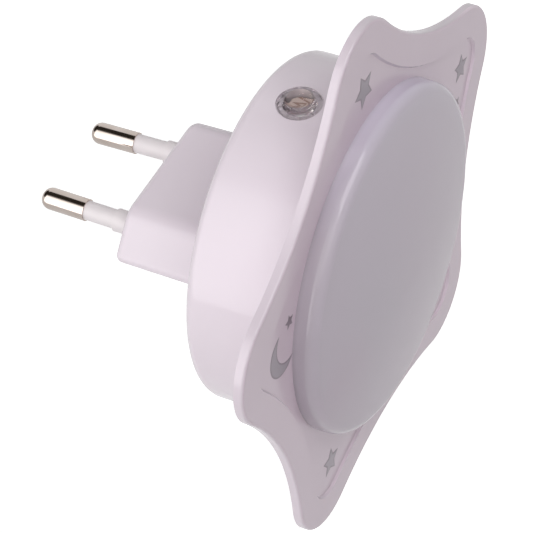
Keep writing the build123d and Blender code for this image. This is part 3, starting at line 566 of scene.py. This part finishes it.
def turned_metal_group():
    """Metal tone with faint stains, uneven gloss, and rings round the y axis."""
    inputs = [("Tone", "NodeSocketColor", GREY), ("Ring Scale", "NodeSocketFloat", 2500.0),
              ("Gloss Low", "NodeSocketFloat", 0.1), ("Gloss High", "NodeSocketFloat", 0.2)]
    group, source, sink = new_group("turned_metal", inputs, SKIN_OUTPUTS)
    given = source.outputs
    place = object_place(group)
    rings = group.nodes.new("ShaderNodeTexWave")
    rings.wave_type = "BANDS"
    rings.bands_direction = "Y"
    rings.inputs["Distortion"].default_value = RING_DISTORTION
    rings.inputs["Detail"].default_value = RING_DETAIL
    group.links.new(place, rings.inputs["Vector"])
    group.links.new(given["Ring Scale"], rings.inputs["Scale"])
    group.links.new(rings.outputs["Fac"], sink.inputs["Height"])
    stain = add_noise(group, place, STAIN_SCALE, detail=4.0)
    dull = add_range(group, stain, given["Gloss Low"], given["Gloss High"], *WEAR_RANGE)
    group.links.new(dull, sink.inputs["Roughness"])
    darker = add_mix(group, 1.0, given["Tone"], STAINED, "MULTIPLY")
    stained = add_range(group, stain, 0.0, 1.0, *STAIN_RANGE)
    group.links.new(add_mix(group, stained, given["Tone"], darker), sink.inputs["Color"])
    return group


TURNED_METAL = turned_metal_group()


def metal(name, tone, gloss, ring_scale=2500.0, ring_depth=0.02):
    """Bare or plated metal with turning rings."""
    material = bpy.data.materials.new(name)
    material.use_nodes = True
    tree = material.node_tree
    shader = tree.nodes["Principled BSDF"]
    shader.inputs["Metallic"].default_value = 1.0
    surface = place_group(tree, TURNED_METAL, Tone=tone, Ring_Scale=ring_scale, Gloss_Low=gloss[0],
                          Gloss_High=gloss[1])
    tree.links.new(surface.outputs["Color"], shader.inputs["Base Color"])
    tree.links.new(surface.outputs["Roughness"], shader.inputs["Roughness"])
    add_bump(tree, surface.outputs["Height"], ring_depth, RING_HEIGHT)
    return material


pin_nickel = metal("pin_nickel", (0.58, 0.51, 0.475, 1.0), (0.08, 0.16))
screw_zinc = metal("screw_zinc", (0.62, 0.62, 0.60, 1.0), (0.34, 0.46), ring_scale=1500.0, ring_depth=0.1)
print("metals:", pin_nickel.name, screw_zinc.name)

# %% [markdown]
# ## The clear sensor window
# Daylight reaches the photocell through a small clear window, a polished acrylic moulding with a thin
# flange. In the middle it is true glass to the renderer, so the cell under it looks lifted and curved. The
# flange lies flat on the housing, with no gap for traced light to enter, and would turn black; so a mask,
# worked out from the distance to the window's own axis, lowers its alpha there and lets the white seat show
# through, and keeps the moulded edges denser.

# %% Window material
LENS_LOW, LENS_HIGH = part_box("sensor_lens")
LENS_AXIS_Y = (LENS_LOW.y + LENS_HIGH.y) / 2
WINDOW_R = 2.62 * MM
FLANGE_EDGE_R = 3.72 * MM
EDGE_HALF = 0.16 * MM
EDGE_SOLID = 0.3   # the share of an edge's half width that is fully dense
FLANGE_ALPHA = 0.11
EDGE_ALPHA = 0.55
WINDOW_TONE = (0.90, 0.84, 0.82, 1.0)
WINDOW_PEEL_DEPTH = 0.05
ACRYLIC_IOR = 1.49


def ring_mask(tree, distance, radius, half):
    """1 on a narrow ring at this radius, fading to 0 at half its width."""
    away = add_math(tree, "ABSOLUTE", add_math(tree, "SUBTRACT", distance, radius))
    return add_range(tree, away, 1.0, 0.0, half * EDGE_SOLID, half)


def clear_window(name, tone):
    """Clear polished plastic: true glass in the middle, a see-through flange round it."""
    material = bpy.data.materials.new(name)
    material.use_nodes = True
    tree = material.node_tree
    shader = tree.nodes["Principled BSDF"]
    surface = place_group(tree, MOULDED_SURFACE, Tone=tone, Drift_Tone=tone, Drift_Scale=200.0,
                          Peel_Scale=700.0, Gloss_Low=0.03, Gloss_High=0.07)
    x, y = object_axes(tree)[:2]
    distance = distance_from(tree, x, add_math(tree, "SUBTRACT", y, LENS_AXIS_Y))
    edge = ring_mask(tree, distance, FLANGE_EDGE_R, EDGE_HALF)
    flange = add_range(tree, edge, FLANGE_ALPHA, EDGE_ALPHA)
    window = add_range(tree, distance, 1.0, 0.0, WINDOW_R - EDGE_HALF, WINDOW_R + EDGE_HALF)
    tree.links.new(add_math(tree, "MAXIMUM", flange, window), shader.inputs["Alpha"])
    tree.links.new(surface.outputs["Color"], shader.inputs["Base Color"])
    tree.links.new(surface.outputs["Roughness"], shader.inputs["Roughness"])
    add_bump(tree, surface.outputs["Height"], WINDOW_PEEL_DEPTH, PEEL_HEIGHT)
    shader.inputs["Transmission Weight"].default_value = 1.0
    shader.inputs["IOR"].default_value = ACRYLIC_IOR
    return material


window_clear = clear_window("window_clear", WINDOW_TONE)
print("window axis at y =", round(LENS_AXIS_Y, 5))

# %% [markdown]
# ## Finishes inside the housing
# Once the light is closed, only the photocell still shows, through its window. Yet each part keeps the
# finish that tells a repairer what it is: a brown board, a yellow film capacitor, a dark can, grey and beige
# resistors. They all use the moulded group, each with its own tone, gloss and skin.

# %% Inner materials
INNER = {
    # name: (tone, drift tone, gloss, peel scale, peel depth)
    "board": ((0.40, 0.24, 0.09, 1.0), (0.33, 0.19, 0.07, 1.0), (0.35, 0.5), 1800.0, 0.2),
    "cell": ((0.72, 0.64, 0.60, 1.0), (0.64, 0.56, 0.52, 1.0), (0.3, 0.5), 2500.0, 0.2),
    "film_cap_box": ((0.72, 0.52, 0.06, 1.0), (0.66, 0.46, 0.05, 1.0), (0.35, 0.45), 1500.0, 0.1),
    "can_sleeve": ((0.03, 0.035, 0.05, 1.0), (0.04, 0.045, 0.06, 1.0), (0.2, 0.3), 800.0, 0.05),
    "bridge_body": ((0.03, 0.03, 0.03, 1.0), (0.045, 0.045, 0.045, 1.0), (0.4, 0.55), 2500.0, 0.3),
    "resistor_grey": ((0.20, 0.27, 0.25, 1.0), (0.17, 0.23, 0.22, 1.0), (0.5, 0.65), 2500.0, 0.4),
    "resistor_beige": ((0.60, 0.42, 0.22, 1.0), (0.54, 0.37, 0.19, 1.0), (0.3, 0.4), 1500.0, 0.1),
    "diode_glass": ((0.50, 0.16, 0.05, 1.0), (0.40, 0.12, 0.04, 1.0), (0.08, 0.14), 800.0, 0.03),
    "transistor_body": ((0.03, 0.03, 0.03, 1.0), (0.05, 0.05, 0.05, 1.0), (0.4, 0.6), 2500.0, 0.3),
    "lead_brown": ((0.10, 0.035, 0.015, 1.0), (0.08, 0.03, 0.012, 1.0), (0.35, 0.45), 900.0, 0.05),
    "lead_blue": ((0.02, 0.06, 0.30, 1.0), (0.018, 0.05, 0.26, 1.0), (0.35, 0.45), 900.0, 0.05),
    "led_body": ((0.82, 0.82, 0.79, 1.0), (0.76, 0.76, 0.73, 1.0), (0.3, 0.4), 3000.0, 0.1),
}
inner = {name: moulded(name, *look) for name, look in INNER.items()}
print("inner materials:", len(inner))

# %% [markdown]
# ## Printed bands
# A resistor's value, a diode's cathode and a can's minus side are all told by a painted band. A band is
# wherever some distance, along the part or across it, lies within half a width of a middle, so one group
# draws them all: each material only hands it a different distance. The same group draws the round copper
# tracks of the board.

# %% Painted band group
INK_SCALE = 2500.0
INK_RANGE = (0.3, 0.6)
INK_COVER = (0.85, 1.0)   # how well the ink covers, where it is thin and where it is full


def painted_band_group():
    """The tone given, with ink over it within half a width of the middle."""
    inputs = [("Color", "NodeSocketColor", GREY), ("Band Tone", "NodeSocketColor", GREY),
              ("Along", "NodeSocketFloat", 0.0), ("Middle", "NodeSocketFloat", 0.0),
              ("Width", "NodeSocketFloat", 0.001)]
    group, source, sink = new_group("painted_band", inputs, [("Color", "NodeSocketColor")])
    given = source.outputs
    away = add_math(group, "ABSOLUTE", add_math(group, "SUBTRACT", given["Along"], given["Middle"]))
    inside = add_math(group, "LESS_THAN", away, add_math(group, "MULTIPLY", given["Width"], 0.5))
    ink = add_noise(group, object_place(group), INK_SCALE, detail=3.0)
    cover = add_math(group, "MULTIPLY", inside, add_range(group, ink, *INK_COVER, *INK_RANGE))
    group.links.new(add_mix(group, cover, given["Color"], given["Band Tone"]), sink.inputs["Color"])
    return group


PAINTED_BAND = painted_band_group()


def paint_band(material, along, middle, width, tone):
    """Put a band on a material where the socket along lies within half a width of the middle."""
    tree = material.node_tree
    shader = tree.nodes["Principled BSDF"]
    band = place_group(tree, PAINTED_BAND, Band_Tone=tone, Middle=middle, Width=width)
    tree.links.new(shader.inputs["Base Color"].links[0].from_socket, band.inputs["Color"])
    tree.links.new(along, band.inputs["Along"])
    tree.links.new(band.outputs["Color"], shader.inputs["Base Color"])


def middle_of(node, axis):
    """Middle of a node's box along one axis."""
    low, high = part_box(node)
    return (low[axis] + high[axis]) / 2


print("group:", PAINTED_BAND.name)

# %% [markdown]
# ## Which bands, and where
# The colours follow the code on real resistors: the first two bands are digits, the third is the number of
# zeros, and a gold one apart from them is the tolerance. A diode's ring marks its cathode. On the board, two
# round copper tracks under the lacquer run on either side of the ring of light-emitting diodes.

# %% Bands on resistors, diode and can
X, Y, Z = 0, 1, 2
BLACK = (0.02, 0.02, 0.02, 1.0)
BROWN = (0.14, 0.05, 0.02, 1.0)
YELLOW = (0.75, 0.55, 0.04, 1.0)
VIOLET = (0.16, 0.06, 0.26, 1.0)
GOLD = (0.55, 0.40, 0.12, 1.0)
SILVER_INK = (0.55, 0.56, 0.58, 1.0)
BANDS = [
    # (material, node, axis, distance from the middle in mm, width in mm, tone)
    ("resistor_grey", "fusible_resistor", X, -3.4, 0.7, BROWN),
    ("resistor_grey", "fusible_resistor", X, -1.7, 0.7, BLACK),
    ("resistor_grey", "fusible_resistor", X, 0.0, 0.7, BLACK),
    ("resistor_grey", "fusible_resistor", X, 3.2, 0.7, GOLD),
    ("resistor_beige", "bleed_resistor", Z, -2.3, 0.55, YELLOW),
    ("resistor_beige", "bleed_resistor", Z, -1.1, 0.55, VIOLET),
    ("resistor_beige", "bleed_resistor", Z, 0.0, 0.55, YELLOW),
    ("resistor_beige", "bleed_resistor", Z, 2.2, 0.55, GOLD),
    ("diode_glass", "zener_diode", Z, 1.3, 0.6, BLACK),
    ("can_sleeve", "electrolytic_capacitor", X, -3.0, 0.9, SILVER_INK),
]
for name, node, axis, place, width, tone in BANDS:
    along = object_axes(inner[name].node_tree)[axis]
    paint_band(inner[name], along, middle_of(node, axis) + place * MM, width * MM, tone)

LED_RING_R = 10.5
COPPER_APART = 2.3
COPPER_WIDTH = 1.2
COPPER_UNDER_LACQUER = (0.58, 0.31, 0.12, 1.0)
board_tree = inner["board"].node_tree
board_x, _, board_z = object_axes(board_tree)
from_middle = distance_from(board_tree, board_x, board_z)
for radius in (LED_RING_R - COPPER_APART, LED_RING_R + COPPER_APART):
    paint_band(inner["board"], from_middle, radius * MM, COPPER_WIDTH * MM, COPPER_UNDER_LACQUER)
print("bands:", len(BANDS), "and two copper tracks")

# %% [markdown]
# ## Bare leads
# A component's body is one colour and its leads are tinned copper, although both belong to one solid here.
# A second group tells them apart by place: what lies below or above the body's limits along one axis turns
# into dull metal.

# %% Bare lead group
TIN = (0.66, 0.65, 0.63, 1.0)
TIN_STAINED = (0.50, 0.49, 0.48, 1.0)
TIN_STAIN_SCALE = 900.0
TIN_ROUGHNESS = 0.32


def bare_lead_group():
    """The tone given inside the limits, and dull tinned metal outside them."""
    inputs = [("Color", "NodeSocketColor", GREY), ("Roughness", "NodeSocketFloat", 0.4),
              ("Along", "NodeSocketFloat", 0.0), ("Low", "NodeSocketFloat", 0.0),
              ("High", "NodeSocketFloat", 0.0)]
    outputs = [("Color", "NodeSocketColor"), ("Roughness", "NodeSocketFloat"),
               ("Metallic", "NodeSocketFloat")]
    group, source, sink = new_group("bare_lead", inputs, outputs)
    given = source.outputs
    below = add_math(group, "LESS_THAN", given["Along"], given["Low"])
    above = add_math(group, "GREATER_THAN", given["Along"], given["High"])
    bare = add_math(group, "MAXIMUM", below, above)
    stain = add_noise(group, object_place(group), TIN_STAIN_SCALE, detail=3.0)
    tin = add_mix(group, stain, TIN, TIN_STAINED)
    group.links.new(add_mix(group, bare, given["Color"], tin), sink.inputs["Color"])
    group.links.new(add_range(group, bare, given["Roughness"], TIN_ROUGHNESS), sink.inputs["Roughness"])
    group.links.new(bare, sink.inputs["Metallic"])
    return group


BARE_LEAD = bare_lead_group()


def bare_leads(material, along, low, high):
    """Turn a material into tinned metal outside these limits of the socket along."""
    tree = material.node_tree
    shader = tree.nodes["Principled BSDF"]
    lead = place_group(tree, BARE_LEAD, Low=low, High=high)
    for name in ("Color", "Roughness"):
        target = shader.inputs["Base Color" if name == "Color" else name]
        tree.links.new(target.links[0].from_socket, lead.inputs[name])
        tree.links.new(lead.outputs[name], target)
    tree.links.new(along, lead.inputs["Along"])
    tree.links.new(lead.outputs["Metallic"], shader.inputs["Metallic"])


print("group:", BARE_LEAD.name)

# %% [markdown]
# ## Where each body ends
# A lying resistor or diode has a lead at each end, so the length of its body sets both limits. A part that
# stands on the back of the board is bare only where its leads go through it, so its other limit lies out of
# reach. The transistor stands on short bare legs, and the photocell's leads start under its tile. The two
# insulated leads are bare at both ends, at the board and at the pins.

# %% Leads of each component
BOARD_BACK_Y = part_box("circuit_board")[1].y
FAR = 1.0   # metres, far outside the object
TRANSISTOR_UP = 2.0
CELL_THICKNESS = 2.0
JACKET_FROM_BOARD = 2.0
JACKET_END_Y = -14.6
AXIAL_BODIES = {
    # material: (node, axis, length of the body in mm)
    "resistor_grey": ("fusible_resistor", X, 9.0),
    "resistor_beige": ("bleed_resistor", Z, 6.4),
    "diode_glass": ("zener_diode", Z, 4.0),
}
jacket_low = BOARD_BACK_Y + JACKET_FROM_BOARD * MM
covered = {
    # material: (axis, lower limit, upper limit)
    "film_cap_box": (Y, BOARD_BACK_Y, FAR),
    "can_sleeve": (Y, BOARD_BACK_Y, FAR),
    "bridge_body": (Y, BOARD_BACK_Y, FAR),
    "transistor_body": (Y, BOARD_BACK_Y + TRANSISTOR_UP * MM, FAR),
    "lead_brown": (Y, jacket_low, JACKET_END_Y * MM),
    "lead_blue": (Y, jacket_low, JACKET_END_Y * MM),
    "cell": (Z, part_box("photocell")[1].z - CELL_THICKNESS * MM, FAR),
}
for name, (node, axis, length) in AXIAL_BODIES.items():
    middle = middle_of(node, axis)
    half = length / 2 * MM
    covered[name] = (axis, middle - half, middle + half)
for name, (axis, low, high) in covered.items():
    bare_leads(inner[name], object_axes(inner[name].node_tree)[axis], low, high)
print("materials with bare leads:", len(covered))

# %% [markdown]
# ## The photocell's zigzag track
# A photocell is a small ceramic tile with a thin brown zigzag of light-sensitive film on its top, between
# two pale electrodes. The zigzag is a triangle wave: the ping-pong of the place along the tile says how far
# across it the track runs, and a point belongs to the track if it lies near that. It is kept to the top
# face by the surface's normal.

# %% Zigzag track
TRACK_PITCH = 1.5
TRACK_SWING = 1.35
TRACK_HALF = 0.62
TRACK_TONE = (0.28, 0.15, 0.11, 1.0)
FACES_UP = 0.9   # z of the surface's direction, above which it counts as the top face


def zigzag_track(material, middle_y):
    """Brown zigzag on the top face of the cell."""
    tree = material.node_tree
    shader = tree.nodes["Principled BSDF"]
    x, y = object_axes(tree)[:2]
    wave = add_math(tree, "PINGPONG", x, TRACK_PITCH / 2 * MM)
    swing = add_range(tree, wave, -TRACK_SWING * MM, TRACK_SWING * MM, 0.0, TRACK_PITCH / 2 * MM)
    across = add_math(tree, "SUBTRACT", y, middle_y)
    away = add_math(tree, "ABSOLUTE", add_math(tree, "SUBTRACT", across, swing))
    track = add_math(tree, "LESS_THAN", away, TRACK_HALF * MM)
    on_top = add_math(tree, "GREATER_THAN", normal_axes(tree)[2], FACES_UP)
    mask = add_math(tree, "MULTIPLY", track, on_top)
    tile = shader.inputs["Base Color"].links[0].from_socket
    tree.links.new(add_mix(tree, mask, tile, TRACK_TONE), shader.inputs["Base Color"])


zigzag_track(inner["cell"], LENS_AXIS_Y)
print("track across the cell:", 2 * TRACK_SWING, "mm")

# %% [markdown]
# ## Phosphor and end pads of the diodes
# Each light-emitting diode is a white block with a round yellow window of phosphor and a tinned pad at each
# end. All six share one material, although they sit in different places, so the masks are worked out in
# generated coordinates, which run from 0 to 1 across each diode's own box.

# %% Diode faces
LED_LENGTH = 3.5
LED_WIDTH = 2.8
PHOSPHOR_R = 1.12
PAD_FROM_MIDDLE = 1.45
PHOSPHOR = (0.82, 0.62, 0.06, 1.0)


def diode_face(material):
    """Yellow round window and tinned ends, worked out in each diode's own box."""
    tree = material.node_tree
    shader = tree.nodes["Principled BSDF"]
    box_x, _, box_z = split_axes(tree, tree.nodes.new("ShaderNodeTexCoord").outputs["Generated"])
    along = add_range(tree, box_x, -LED_LENGTH / 2, LED_LENGTH / 2)
    across = add_range(tree, box_z, -LED_WIDTH / 2, LED_WIDTH / 2)
    window = add_math(tree, "LESS_THAN", distance_from(tree, along, across), PHOSPHOR_R)
    body = shader.inputs["Base Color"].links[0].from_socket
    tree.links.new(add_mix(tree, window, body, PHOSPHOR), shader.inputs["Base Color"])
    bare_leads(material, along, -PAD_FROM_MIDDLE, PAD_FROM_MIDDLE)


diode_face(inner["led_body"])
print("diode material:", inner["led_body"].name)

# %% [markdown]
# ## Giving each part its finish
# A part that the CAD model already shapes keeps its mesh, and only its material slots are filled anew. One
# table from part to finish keeps the choice in one place; whatever it doesn't name is a diode.

# %% Assign materials
FINISH = {
    "rear_housing": housing_white, "star_front": star_white, "diffuser": diffuser_milky,
    "reflector": reflector_white, "circuit_board": inner["board"], "sensor_lens": window_clear,
    "photocell": inner["cell"], "film_capacitor": inner["film_cap_box"],
    "electrolytic_capacitor": inner["can_sleeve"], "bridge_rectifier": inner["bridge_body"],
    "fusible_resistor": inner["resistor_grey"], "bleed_resistor": inner["resistor_beige"],
    "zener_diode": inner["diode_glass"], "transistor": inner["transistor_body"],
    "housing_screws": screw_zinc, "board_screws": screw_zinc, "pin_left": pin_nickel, "pin_right": pin_nickel,
    "pin_sleeve_left": sleeve_white, "pin_sleeve_right": sleeve_white,
    "pin_lead_left": inner["lead_brown"], "pin_lead_right": inner["lead_blue"],
}
for name in nodes:
    material = FINISH.get(name, inner["led_body"])
    slots = nodes[name].data.materials
    slots.clear()
    slots.append(material)
print("dressed:", len(nodes))

# %% [markdown]
# ## Foil stars and a crescent
# The sunk field carries a few plain stars and a crescent in flat silver foil, pressed on hot, so they have
# almost no thickness. A texture could draw them, but a thin solid keeps their edges crisp at any distance.
# Each outline is worked out from a size and a place on the star plate, then given 0.03 mm of thickness. The
# hot die scorches the foil a little along its edge and presses it deeper, so a smaller outline lies inside
# the first, and the rim between them slopes down. A number kept on the corners of the mesh, 1 outside and 0
# inside, tells the material where to darken; the smallest stars are dark right through.

# %% Foil decoration
FOIL_THICKNESS = 0.03 * MM
FOIL_GAP = 0.01 * MM        # clear of the field, so that no two faces lie in one plane
RIM_THICKNESS = 0.01 * MM
RIM_WIDTH = 0.4
RIM = "rim"
RIM_TONE = (0.29, 0.235, 0.275, 1.0)
FOIL_METALLIC = 0.3
SCORCHED_THROUGH = 2.0      # a star with a smaller radius is dark right through
STAR_POINTS = 5
INNER_TO_OUTER = 0.50
EDGE_TO_RADIUS = 0.443      # how far a star's edges lie from its middle, as a share of its radius
STARS = {
    # name: (x, z, radius in mm, turn in degrees)
    "foil_star_top": (0.4, 37.5, 3.42, 14.4),
    "foil_star_right": (37.1, 11.7, 2.8, -12.0),
    "foil_star_lower_left": (-21.6, -30.8, 2.95, -11.0),
    "foil_star_lower_right": (22.5, -30.5, 2.8, 8.0),
    "foil_star_small_left": (-30.5, 14.0, 1.45, 0.0),
    "foil_star_small_right": (34.9, 5.2, 1.3, 10.0),
}
CRESCENT_DISC = (-33.65, 9.7, 4.35)    # x, z, radius
CRESCENT_BITE = (-31.17, 10.89, 4.3)   # the disc that is taken out of it


def star_outline(x, z, radius, turn):
    """Corners of a plain star, outer and inner in turn, from the top one round to the left."""
    points = []
    for i in range(2 * STAR_POINTS):
        reach = radius if i % 2 == 0 else radius * INNER_TO_OUTER
        angle = math.radians(90 + turn + 180 / STAR_POINTS * i)
        points.append((x + reach * math.cos(angle), z + reach * math.sin(angle)))
    return points


def crescent_outline(shrink=0.0, steps=28):
    """Outline of a disc with a bite out of it, drawn in by shrink along all its edge."""
    x, z, radius = CRESCENT_DISC
    cut_x, cut_z, cut_radius = CRESCENT_BITE
    radius -= shrink
    cut_radius += shrink
    dx, dz = cut_x - x, cut_z - z
    gap = math.hypot(dx, dz)
    toward = math.atan2(dz, dx)
    along = (gap ** 2 + radius ** 2 - cut_radius ** 2) / (2 * gap)
    half = math.acos(along / radius)
    cut_half = math.acos((along - gap) / cut_radius)
    points = []
    for i in range(steps + 1):
        angle = toward + half + (2 * math.pi - 2 * half) * i / steps
        points.append((x + radius * math.cos(angle), z + radius * math.sin(angle)))
    for i in range(1, steps):
        angle = toward - cut_half - (2 * math.pi - 2 * cut_half) * i / steps
        points.append((cut_x + cut_radius * math.cos(angle), cut_z + cut_radius * math.sin(angle)))
    return points


def foil_ring(shape, outline, above):
    """Vertices along an outline of (x, z) points in millimetres, this far above the sunk field."""
    return [shape.verts.new((x * MM, FIELD_Y - above, z * MM)) for x, z in outline]


def foil_piece(name, outline, inner_outline, middle_scorch=0.0):
    """Thin solid on the sunk field, whose rim slopes down from the inner outline to the outer one."""
    mesh = bpy.data.meshes.new(name)
    shape = bmesh.new()
    rim = shape.verts.layers.float.new(RIM)
    rings = [foil_ring(shape, outline, FOIL_GAP), foil_ring(shape, outline, FOIL_GAP + RIM_THICKNESS),
             foil_ring(shape, inner_outline, FOIL_GAP + FOIL_THICKNESS)]
    shape.faces.new(rings[0])
    shape.faces.new(rings[2])
    for lower, upper in zip(rings, rings[1:]):
        for i in range(len(outline)):
            j = (i + 1) % len(outline)
            shape.faces.new((lower[i], lower[j], upper[j], upper[i]))
    for ring, scorch in zip(rings, (1.0, 1.0, middle_scorch)):
        for vertex in ring:
            vertex[rim] = scorch
    bmesh.ops.recalc_face_normals(shape, faces=shape.faces)
    shape.to_mesh(mesh)
    shape.free()
    piece = bpy.data.objects.new(name, mesh)
    bpy.context.scene.collection.objects.link(piece)
    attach(piece, BODY)
    return piece


def foil_material():
    """Flat silver foil with a fine pressed grain."""
    material = moulded("foil_silver", (0.46, 0.41, 0.46, 1.0), (0.41, 0.365, 0.41, 1.0), (0.35, 0.5),
                       peel_scale=3000.0, peel_depth=0.3)
    tree = material.node_tree
    shader = tree.nodes["Principled BSDF"]
    shader.inputs["Metallic"].default_value = FOIL_METALLIC
    rim = tree.nodes.new("ShaderNodeAttribute")
    rim.attribute_name = RIM
    silver = shader.inputs["Base Color"].links[0].from_socket
    tree.links.new(add_mix(tree, rim.outputs["Fac"], silver, RIM_TONE), shader.inputs["Base Color"])
    return material


foil_silver = foil_material()
foil = []
for name, (x, z, radius, turn) in STARS.items():
    inner_star = star_outline(x, z, radius - RIM_WIDTH / EDGE_TO_RADIUS, turn)
    middle_scorch = 1.0 if radius < SCORCHED_THROUGH else 0.0
    foil.append(foil_piece(name, star_outline(x, z, radius, turn), inner_star, middle_scorch))
foil.append(foil_piece("foil_crescent", crescent_outline(), crescent_outline(shrink=RIM_WIDTH)))
for piece in foil:
    piece.data.materials.append(foil_silver)
print("foil pieces:", len(foil), "on y =", round(FIELD_Y, 5))
